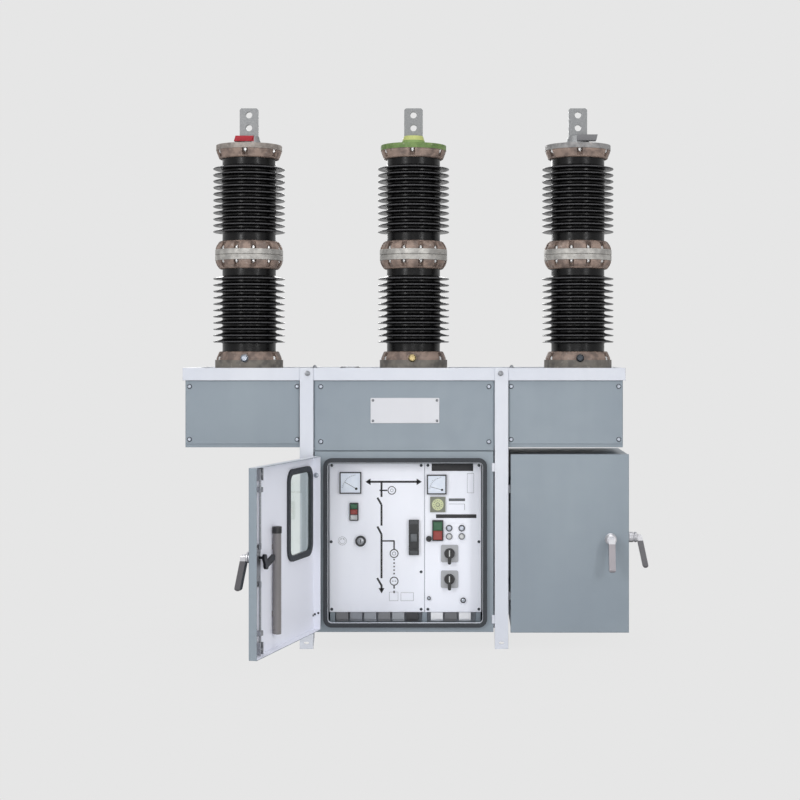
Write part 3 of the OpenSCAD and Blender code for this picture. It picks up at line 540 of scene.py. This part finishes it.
DISC_PAIR = (srgb(124, 118, 110), srgb(96, 92, 87))
RING_PAIR = (srgb(184, 182, 178), srgb(160, 158, 155))
PLATE_PAIRS = {
    "left": (srgb(158, 150, 144), srgb(126, 119, 114)),
    "middle": (srgb(116, 140, 84), srgb(94, 118, 68)),
    "right": (srgb(146, 145, 145), srgb(118, 117, 118))}
PHASE_MARKS = {
    "left": [((None, None, 2.4715), (-0.756, -0.025, 2.5), srgb(164, 14, 36))],
    "middle": [((None, None, 2.45), (None, None, 2.48), srgb(122, 148, 84)),
               ((None, None, 2.48), (None, None, 2.5025), srgb(182, 188, 116))],
    "right": [((0.847, None, 2.4745), (None, -0.025, 2.506), srgb(116, 116, 119))]}

SLOT_FINISH = {
    "frame_white": FRAME_WHITE, "cabinet_grey": CABINET_GREY, "panel_white": PANEL_WHITE,
    "porcelain": PORCELAIN, "seal_rubber": RUBBER, "window_glass": GLASS, "knob_black": KNOB_BLACK,
    "rod_steel": ZINC, "instrument_black": instrument_plastic(), "handle_chrome": handle_chrome(),
    "flange_casting": casting_paint("flange_base", None, DISC_TOP, *DISC_PAIR, 0.0)}
NODE_FINISH = {
    "control_door": door_paint(), "control_cabinet": cabinet_paint(), "terminal_rail": rail_plastic(),
    "charging_lever": TUBE_GREY, "panel_posts": CABINET_GREY, "nameplate": PLATE_WHITE}
RING_FINISH = casting_paint("flange_middle", RING_LOW, RING_HIGH, *RING_PAIR, 0.75)
for pole in POLES:
    plate_side = PLATE_LOW + 0.5 * MM
    top_finish = casting_paint(pole + "_top_plate", plate_side, None, *PLATE_PAIRS[pole], 0.3)
    NODE_FINISH[pole + "_middle_flange"] = RING_FINISH
    NODE_FINISH[pole + "_top_flange"] = top_finish
    NODE_FINISH[pole + "_terminal"] = terminal_metal(pole + "_terminal", PHASE_MARKS[pole])


def paint_nodes():
    """Each carried-over piece takes its own finish, or else that of its material slot."""
    for part in SUBPARTS:
        node = NODES[part["node"]]
        node.data.materials.clear()
        node.data.materials.append(NODE_FINISH.get(part["node"]) or SLOT_FINISH[part["material_slot"]])


paint_nodes()


# Modelling: each piece starts as a primitive, is shaped in edit mode and then set in place

SMOOTH_UP_TO = math.radians(35)


def begin():
    bpy.ops.object.select_all(action="DESELECT")


def only(piece):
    """Select one piece and nothing else."""
    begin()
    piece.select_set(True)
    bpy.context.view_layer.objects.active = piece


def settle():
    """Move the place, turn and size of the active piece into its mesh."""
    bpy.ops.object.transform_apply(location=True, rotation=True, scale=True)
    return bpy.context.active_object


def disc(radius, height, sides=32, base=0.0):
    """A cylinder that stands on the height base."""
    begin()
    middle = (0, 0, base + height / 2)
    bpy.ops.mesh.primitive_cylinder_add(vertices=sides, radius=radius, depth=height, location=middle)
    return settle()


def slab(width, depth, height):
    """A block that stands on the ground, with its sides along X and Y."""
    begin()
    bpy.ops.mesh.primitive_cube_add(size=1, location=(0, 0, height / 2))
    bpy.context.active_object.scale = (width, depth, height)
    return settle()


def edit(piece, kind, elements, test):
    """Edit mode with those faces or edges selected that pass a test."""
    bpy.context.view_layer.objects.active = piece
    bpy.ops.object.mode_set(mode="EDIT")
    bpy.ops.mesh.select_mode(type=kind)
    bpy.ops.mesh.select_all(action="DESELECT")
    bpy.ops.object.mode_set(mode="OBJECT")
    for element in elements:
        element.select = test(element)
    bpy.ops.object.mode_set(mode="EDIT")


def edit_top(piece):
    """Edit mode with the top face selected."""
    edit(piece, "FACE", piece.data.polygons, lambda face: face.normal.z > 0.9)


def edit_corners(piece):
    """Edit mode with the upright edges selected."""
    points = piece.data.vertices

    def upright(edge):
        start, end = [points[i].co.xy for i in edge.vertices]
        return (start - end).length < 1e-6

    edit(piece, "EDGE", piece.data.edges, upright)


def close():
    bpy.ops.object.mode_set(mode="OBJECT")
    return bpy.context.active_object


def extrude(distance):
    bpy.ops.mesh.extrude_region_move(TRANSFORM_OT_translate={"value": (0, 0, distance)})


def step(inset, rise):
    """Inset the selected face and raise or sink what is left of it."""
    bpy.ops.mesh.inset(thickness=inset)
    extrude(rise)


def soft_rim(piece, width, segments=2):
    """Round the edge of the top face."""
    edit_top(piece)
    bpy.ops.mesh.bevel(offset=width, segments=segments, affect="EDGES")
    return close()


def rounded(piece, corner, rim):
    """Round the upright corners of a slab and break its top edge."""
    edit_corners(piece)
    bpy.ops.mesh.bevel(offset=corner, segments=5, affect="EDGES")
    close()
    return soft_rim(piece, rim)


def dressed(piece, finish):
    piece.data.materials.clear()
    piece.data.materials.append(finish)
    return piece


def joined(pieces):
    """Several pieces as one mesh."""
    only(pieces[0])
    for piece in pieces:
        piece.select_set(True)
    if len(pieces) > 1:
        bpy.ops.object.join()
    return bpy.context.active_object


def moved(piece, matrix):
    """Set a piece in its place."""
    only(piece)
    piece.matrix_world = matrix
    return settle()


def keep(piece, name, body="frame"):
    """Name a piece, smooth its round faces and let it ride on a body."""
    only(piece)
    bpy.ops.object.shade_smooth_by_angle(angle=SMOOTH_UP_TO)
    piece.name = name
    piece.data.name = name
    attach(piece, body)


def facing(at, direction):
    """The place of a piece that stands on a surface and looks along a direction."""
    return Matrix.Translation(at) @ Vector(direction).to_track_quat("Z", "Y").to_matrix().to_4x4()


def spoke(centre, radius, degrees):
    """The point at a distance and an angle from a centre."""
    angle = math.radians(degrees)
    return (centre[0] + radius * math.cos(angle), centre[1] + radius * math.sin(angle))


def stamped(pattern, places, name, body="frame"):
    """Copies of a pattern, each with its own mesh, at so many places as one piece."""
    made = []
    for place in places:
        copy = pattern.copy()
        copy.data = pattern.data.copy()
        bpy.context.scene.collection.objects.link(copy)
        made.append(moved(copy, place))
    keep(joined(made), name, body)


def drop(*patterns):
    """Remove patterns that have been stamped."""
    for pattern in patterns:
        bpy.data.objects.remove(pattern)


# Fasteners

WASHER = 0.0022


def hex_bolt(radius, head, washer, finish):
    """A washer, a six-sided head with a chamfered top and the end of the bolt."""
    ring = dressed(soft_rim(disc(washer, WASHER, 24), 0.0006), finish)
    nut = disc(radius, head, 6, WASHER)
    edit_top(nut)
    bpy.ops.mesh.inset(thickness=radius * 0.14, depth=radius * 0.08)
    step(radius * 0.25, radius * 0.35)
    return joined([dressed(close(), finish), ring])


def cover_screw(radius, height, finish, washer):
    """A pan-head screw with a drive recess on a washer."""
    ring = disc(radius * 1.35, height * 0.25, 28)
    edit_top(ring)
    step(radius * 0.12, height * 0.12)
    dressed(close(), washer)
    head = soft_rim(disc(radius, height, 28, height * 0.2), height * 0.5, 4)
    edit_top(head)
    step(radius * 0.25, -height * 0.35)
    return joined([dressed(close(), finish), ring])


def pole_bolts():
    """Bolts in the pockets of the clamping collars; at the base the drain plug stands for the front one."""
    big = hex_bolt(0.0098, 0.011, 0.0116, BRIGHT_STEEL)
    small = hex_bolt(0.0086, 0.009, 0.0106, BRIGHT_STEEL)
    # Bolt, seat, radius of the ring of bolts, the way that the heads look, count and angle of the first
    collars = ((big, DISC_TOP, 0.152, UP, 6, -90), (small, RING_LOW, 0.154, -UP, 12, 15),
               (small, RING_HIGH, 0.154, UP, 12, 15), (big, PLATE_LOW, 0.149, -UP, 6, -90))
    for pole, x in POLES.items():
        for level, (bolt, seat, radius, way, count, first) in enumerate(collars):
            turns = [first + i * 360 / count for i in range(count)]
            if seat == DISC_TOP:
                turns = turns[1:]
            places = [facing((*spoke((x, 0), radius, turn), seat), way) for turn in turns]
            stamped(bolt, places, "%s_pole_bolts_%d" % (pole, level + 1))
    drop(big, small)


def drain_plugs():
    """Capped plugs at the front of the base castings."""
    plug_z, plug_r, rim = 1.397, 0.019, 0.004
    for (pole, x), finish in zip(POLES.items(), (LOCK_FACE, BRASS, DARK_STEEL)):
        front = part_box(pole + "_base_flange")[0][1]
        cap = soft_rim(disc(plug_r, rim, 36), 0.0015, 3)
        edit_top(cap)
        step(0.008, 0.004)
        step(0.003, -0.003)
        dressed(close(), finish)
        keep(moved(cap, facing((x, front, plug_z), FRONT)), pole + "_drain_plug")


def cover_screws():
    """Screws in the corners of the covers, at the front and at the rear."""
    front_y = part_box("front_left_cover")[0][1]
    rear_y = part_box("rear_covers")[1][1]
    side_x, side_z = (-1.033, -0.515, 0.515, 1.033), (1.261, 1.006)
    inner_x, inner_z = (-0.401, 0.408), (1.260, 0.995)
    spots = [(x, z) for x in side_x for z in side_z] + [(x, z) for x in inner_x for z in inner_z]
    screw = cover_screw(0.0085, 0.006, LOCK_FACE, DARK_STEEL)
    stamped(screw, [facing((x, front_y, z), FRONT) for x, z in spots], "cover_screws")
    stamped(screw, [facing((x, rear_y, z), -FRONT) for x, z in spots], "rear_cover_screws")
    drop(screw)


def frame_bolts():
    """The bolts that hold the legs to the top angles and the nuts on top of the front one."""
    leg_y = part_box("front_left_leg")[0][1]
    beam_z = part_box("front_top_angle")[1][2]
    leg_x, leg_z = (-0.464, 0.464), 1.324
    nut_x, nut_y = (-0.432, 0.518), -0.262
    places = [facing((x, leg_y, leg_z), FRONT) for x in leg_x]
    places += [facing((x, -leg_y, leg_z), -FRONT) for x in leg_x]
    places += [facing((x, nut_y, beam_z), UP) for x in nut_x]
    bolt = hex_bolt(0.010, 0.008, 0.013, ZINC)
    stamped(bolt, places, "frame_bolts")
    drop(bolt)


def housing_cap():
    """A shallow blanking cap on the housing between the left and middle poles."""
    x, y = -0.274, -0.1
    radius, flange, crown = 0.05, 0.008, 0.004
    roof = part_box("pole_housing")[1][2]
    cap = disc(radius, flange, 48)
    edit_top(cap)
    step(0.006, crown)
    bpy.ops.mesh.bevel(offset=0.002, segments=2, affect="EDGES")
    dressed(close(), ZINC)
    keep(moved(cap, Matrix.Translation((x, y, roof))), "housing_cap")


def nameplate_screws():
    """A small screw in each corner of the nameplate."""
    margin = 0.012
    low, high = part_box("nameplate")
    across = (low[0] + margin, high[0] - margin)
    heights = (low[2] + margin, high[2] - margin)
    screw = cover_screw(0.0045, 0.0035, ZINC, DARK_STEEL)
    stamped(screw, [facing((x, low[1], z), FRONT) for x in across for z in heights], "nameplate_screws")
    drop(screw)


# Instrument panels; places and sizes are in millimetres, across X and up Z on the panel face

PANEL_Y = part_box("mimic_panel")[0][1]
PRINT = 0.6
BUS_Z = 797.6
TRUNK_X = -112
BRANCH_X = -51
TIMER_AT = (161, 688)
INDICATOR_X = 45
SOCKET_AT = (-302, 511)


def panel_place(x, z, proud=0.0, turn=0.0):
    """The place of a piece on the panels, so far proud of them and turned in their plane."""
    stand = facing((x * MM, PANEL_Y - proud * MM, z * MM), FRONT)
    return stand @ Matrix.Rotation(math.radians(turn), 4, "Z")


def rule(start, end, width, finish, proud=0.0):
    """A thin raised line between two points of the panel."""
    run = Vector(end) - Vector(start)
    bar = soft_rim(slab(run.length * MM, width * MM, PRINT * MM), 0.2 * MM, 1)
    dressed(bar, finish)
    angle = math.degrees(math.atan2(run.y, run.x))
    return moved(bar, panel_place((start[0] + end[0]) / 2, (start[1] + end[1]) / 2, proud, angle))


def hoop(x, z, radius, width, finish, proud=0.0):
    """A thin raised ring on the panel."""
    begin()
    bpy.ops.mesh.primitive_circle_add(vertices=40, radius=radius * MM, fill_type="NOTHING")
    ring = bpy.context.active_object
    bpy.ops.object.mode_set(mode="EDIT")
    bpy.ops.mesh.select_all(action="SELECT")
    bpy.ops.mesh.extrude_edges_move()
    inner = (radius - width) / radius
    bpy.ops.transform.resize(value=(inner, inner, 1))
    bpy.ops.mesh.select_all(action="SELECT")
    extrude(PRINT * MM)
    bpy.ops.mesh.select_all(action="SELECT")
    bpy.ops.mesh.normals_make_consistent(inside=False)
    dressed(close(), finish)
    return moved(ring, panel_place(x, z, proud))


def arrow(x, z, length, width, turn, finish):
    """A flat arrowhead whose tip is at the place and points along the turn."""
    begin()
    bpy.ops.mesh.primitive_circle_add(vertices=3, radius=MM, fill_type="NGON")
    head = bpy.context.active_object
    bpy.ops.object.mode_set(mode="EDIT")
    bpy.ops.mesh.select_all(action="SELECT")
    tip = length / 1.5
    bpy.ops.transform.resize(value=(width / math.sqrt(3), tip, 1))
    bpy.ops.transform.translate(value=(0, -tip * MM, 0))
    extrude(PRINT * MM)
    dressed(close(), finish)
    return moved(head, panel_place(x, z, 0, turn - 90))


def outline(left, right, low, high, width):
    """Four thin grey lines round a bare box of the panel."""
    corners = ((left, low), (right, low), (right, high), (left, high))
    return [rule(corners[i - 1], corners[i], width, MARK_GREY) for i in range(4)]


def plate(width, height, thick, corner, rim, finish):
    """A flat plate with round corners and a broken edge."""
    return dressed(rounded(slab(width * MM, height * MM, thick * MM), corner * MM, rim * MM), finish)


def mimic_lines():
    """The single-line diagram on the left panel: bus, trunk with open blades, branch and bare boxes."""
    ink = MARK_BLACK
    pieces = [rule((-178, BUS_Z), (71, BUS_Z), 10, ink)]
    pieces += [arrow(-194, BUS_Z, 25, 32, 180, ink), arrow(87, BUS_Z, 25, 32, 0, ink)]
    trunk_w, branch_w = 9.5, 7
    for top, foot in ((797, 724), (686, 585), (543, 330), (298, 270)):
        pieces.append(rule((TRUNK_X, top), (TRUNK_X, foot), trunk_w, ink))
    for tip, top, foot in ((-132, 721, 686), (-132, 581, 543), (-133, 331, 295)):
        pieces.append(rule((tip, top), (TRUNK_X, foot), trunk_w, ink))
    pieces.append(arrow(TRUNK_X, 252, 26, 28, -90, ink))
    for left, right, z in ((-122, -84, 756), (TRUNK_X, -49, 511)):
        pieces.append(rule((left, z), (right, z), branch_w, ink))
    for top, foot in ((511, 471), (294, 280), (270, 258)):
        pieces.append(rule((BRANCH_X, top), (BRANCH_X, foot), branch_w, ink))
    for top in (424, 407, 390, 373, 356):
        pieces.append(rule((BRANCH_X, top), (BRANCH_X, top - 7), 7, ink))
    for x, z, radius, width in ((-62, 756, 20.5, 4), (-62, 756, 8, 1.6), (BRANCH_X, 450, 21.5, 4.4),
                                (BRANCH_X, 450, 9, 1.8), (BRANCH_X, 316, 21.5, 4.4)):
        pieces.append(hoop(x, z, radius, width, ink))
    for left, right in ((-61, -54), (-48, -41)):
        pieces.append(rule((left, 316), (right, 316), 3, ink))
    pieces += outline(-74, -32, 221, 263, 1.6) + outline(-18, 43, 221, 260, 1.6)
    keep(joined(pieces), "mimic_lines")


def panel_prints():
    """Bare header strip, bare bars and rules on the right panel, and the socket outline on the left one."""
    pieces = []
    strips = ((131, 332, 850, 886, MARK_BLACK), (152, 348, 622, 640, MARK_BLACK),
              (214, 293, 704, 717, SLIDER_GREY))
    for left, right, low, high, finish in strips:
        strip = plate(right - left, high - low, 1, 1.5, 0.3, finish)
        pieces.append(moved(strip, panel_place((left + right) / 2, (low + high) / 2)))
    pieces.append(rule((291, 690), (291, 660), 2.5, MARK_GREY))
    pieces.append(rule((214, 690), (291, 690), 2, MARK_GREY))
    pieces += outline(304, 335, 744, 838, 1.5)
    x, z = SOCKET_AT
    pieces += [hoop(x, z, 21, 1.6, MARK_GREY), hoop(x, z, 14, 1.4, MARK_GREY)]
    pieces += [rule((x + side, z + 6), (x + side, z + 12), 3, MARK_GREY) for side in (-6, 6)]
    keep(joined(pieces), "panel_prints")


def meter_face(name, x, z, size, needle):
    """A pale face in the recess of a meter, with its scale, pointer and the cap of its pivot."""
    proud, rim = 11, 11
    pieces = [moved(plate(size - rim, size - rim, PRINT, 2, 0.2, FACE_WHITE), panel_place(x, z, proud))]
    pivot = (x + size * 0.27, z - size * 0.27)
    reach = size * 0.62
    marks = range(95, 176, 8)
    for i, turn in enumerate(marks):
        mark = 7 if i % 5 == 0 else 4
        start, end = spoke(pivot, reach, turn), spoke(pivot, reach + mark, turn)
        pieces.append(rule(start, end, 1.2, MARK_GREY, proud + PRINT))
    for turn, following in zip(marks, marks[1:]):
        start, end = spoke(pivot, reach, turn), spoke(pivot, reach, following)
        pieces.append(rule(start, end, 1.0, MARK_GREY, proud + PRINT))
    pieces.append(rule(pivot, spoke(pivot, reach - 2, needle), 1.8, MARK_BLACK, proud + 0.8))
    cap = soft_rim(disc(size * 0.06 * MM, 1.6 * MM, 24), PRINT * MM)
    pieces.append(moved(dressed(cap, MARK_BLACK), panel_place(*pivot, proud)))
    keep(joined(pieces), name)


def timer_dial():
    """The round pale dial of the timer in its square case."""
    proud = 8
    face = disc(0.028, 0.003, 40)
    edit_top(face)
    step(0.004, -0.001)
    step(0.012, 0.003)
    pieces = [moved(dressed(close(), DIAL_PALE), panel_place(*TIMER_AT, proud))]
    for turn in range(0, 360, 30):
        start, end = spoke(TIMER_AT, 17, turn), spoke(TIMER_AT, 22, turn)
        pieces.append(rule(start, end, 2.2, SLIDER_GREY, proud + 2))
    pieces.append(hoop(*TIMER_AT, 10, 2.2, SLIDER_GREY, proud + 4.8))
    keep(joined(pieces), "timer_dial")


def push_buttons():
    """Coloured caps on the buttons of the two stations."""
    small, large = (32.4, 23.8), (43.4, 43.8)
    proud = 11.4
    pieces = []
    for x, z, size, finish in ((-245, 679.3, small, BUTTON_GREEN), (-245, 653, small, BUTTON_RED),
                               (-245, 626.7, small, BUTTON_GREY), (161, 584.2, large, BUTTON_GREEN),
                               (161, 539.8, large, BUTTON_RED)):
        cap = plate(*size, 7.8, 2.5, 1.2, finish)
        edit_top(cap)
        step(0.003, -0.0006)
        pieces.append(moved(close(), panel_place(x, z, proud)))
    keep(joined(pieces), "push_buttons")


def signal_lamps():
    """Bezels and lenses of the four lamps."""
    for name, rim, finish, z in (("upper_lamps", KNOB_BLACK, LOCK_FACE, 573),
                                 ("lower_lamps", SLIDER_GREY, LENS_PALE, 533)):
        bezel = disc(0.0158, 0.0056)
        edit_top(bezel)
        step(0.003, -0.001)
        dressed(close(), rim)
        lens = dressed(soft_rim(disc(0.0118, 0.0096, base=0.0046), 0.005, 5), finish)
        lamp = joined([lens, bezel])
        stamped(lamp, [panel_place(x, z) for x in (216, 277)], name)
        drop(lamp)


def lock_faces():
    """Turned faces with a key slot in the lock on the left panel and the small ones on the right."""
    thick = 3.4
    pieces = []
    for x, z, radius, proud, finish in ((-213, 511, 17.2, 10, ZINC), (118, 522, 9.2, 10, KNOB_BLACK),
                                        (118, 234, 5.9, 6, LOCK_FACE), (284, 224, 8.6, 8, LOCK_FACE)):
        face = dressed(soft_rim(disc(radius * MM, thick * MM), 0.0008), finish)
        pieces.append(moved(face, panel_place(x, z, proud)))
        slot = radius * 0.45
        pieces.append(rule((x, z - slot), (x, z + slot), radius * 0.2, MARK_BLACK, proud + thick))
    keep(joined(pieces), "lock_faces")


def indicator_marks():
    """Grey slider and bare dark end labels of the charge indicator."""
    pieces = []
    for z, width, height, proud, finish in ((529, 31, 37, 20, SLIDER_GREY), (602, 38, 17, 16, LABEL_DARK),
                                            (456, 38, 17, 16, LABEL_DARK)):
        label = plate(width, height, 1.2, 1, 0.3, finish)
        pieces.append(moved(label, panel_place(INDICATOR_X, z, proud)))
    keep(joined(pieces), "indicator_marks")


def switch_pointers():
    """White lines on the grips of the two rotary switches, a little above their axes."""
    for knob in ("upper_switch_knob", "lower_switch_knob"):
        low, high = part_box(knob)
        radius = (high[0] - low[0]) / 2
        axis_x, axis_z = (low[0] + radius) / MM, (high[2] - radius) / MM
        front = (PANEL_Y - low[1]) / MM
        line = plate(5, 30, 0.8, 1, 0.2, LENS_PALE)
        keep(moved(line, panel_place(axis_x, axis_z + 4, front)), knob + "_pointer", knob)


def panel_screws():
    """Screws in the corners of both panels, halfway up their sides and beside the indicator."""
    spots = [(x, z) for z in (877, 180) for x in (-353, 80, 113, 360)]
    spots += [(-356, 507), (360, 507), (80, 361)]
    screw = cover_screw(0.0052, 0.0035, DARK_STEEL, DARK_STEEL)
    stamped(screw, [panel_place(x, z) for x, z in spots], "panel_screws")
    drop(screw)


# Control door fittings, in the place that they have when it is closed and then swung open with it

HINGE = Vector(DOOR_AXIS)
DOOR = Matrix.Translation(HINGE) @ Matrix.Rotation(DOOR_ANGLE, 4, "Z") @ Matrix.Translation(-HINGE)
FOLD_X = -0.3955
ACROSS = Vector((1, 0, 0))


def hinge_edge():
    """The earth stud and two hinge screws on the folded hinge side, and one hinge screw on the skin."""
    stud_at = (FOLD_X, -0.3195, 0.836)
    stud = hex_bolt(0.0085, 0.003, 0.0125, LOCK_FACE)
    stamped(stud, [DOOR @ facing(stud_at, ACROSS)], "earth_stud", "control_door")
    drop(stud)
    fold_spots = ((FOLD_X, -0.326, 0.170), (FOLD_X, -0.309, 0.176))
    skin_spot = (-0.388, INNER_SKIN, 0.164)
    places = [DOOR @ facing(spot, ACROSS) for spot in fold_spots]
    places.append(DOOR @ facing(skin_spot, -FRONT))
    screw = cover_screw(0.004, 0.003, DARK_STEEL, DARK_STEEL)
    stamped(screw, places, "hinge_screws", "control_door")
    drop(screw)


def lever_cap():
    """The black cap over the upper end of the charging lever."""
    lever_x, lever_y = 0.134, INNER_SKIN + 0.0215
    radius, height, over_end = 0.0206, 0.031, 0.0005
    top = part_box("charging_lever")[1][2]
    cap = dressed(soft_rim(disc(radius, height, 40), 0.004, 3), KNOB_BLACK)
    place = DOOR @ Matrix.Translation((lever_x, lever_y, top + over_end - height))
    keep(moved(cap, place), "lever_cap", "control_door")


pole_bolts()
drain_plugs()
cover_screws()
frame_bolts()
housing_cap()
nameplate_screws()
mimic_lines()
panel_prints()
meter_face("left_meter_face", x=-262, z=793, size=105, needle=150)
meter_face("right_meter_face", x=156, z=785, size=95, needle=165)
timer_dial()
push_buttons()
signal_lamps()
lock_faces()
indicator_marks()
switch_pointers()
panel_screws()
hinge_edge()
lever_cap()
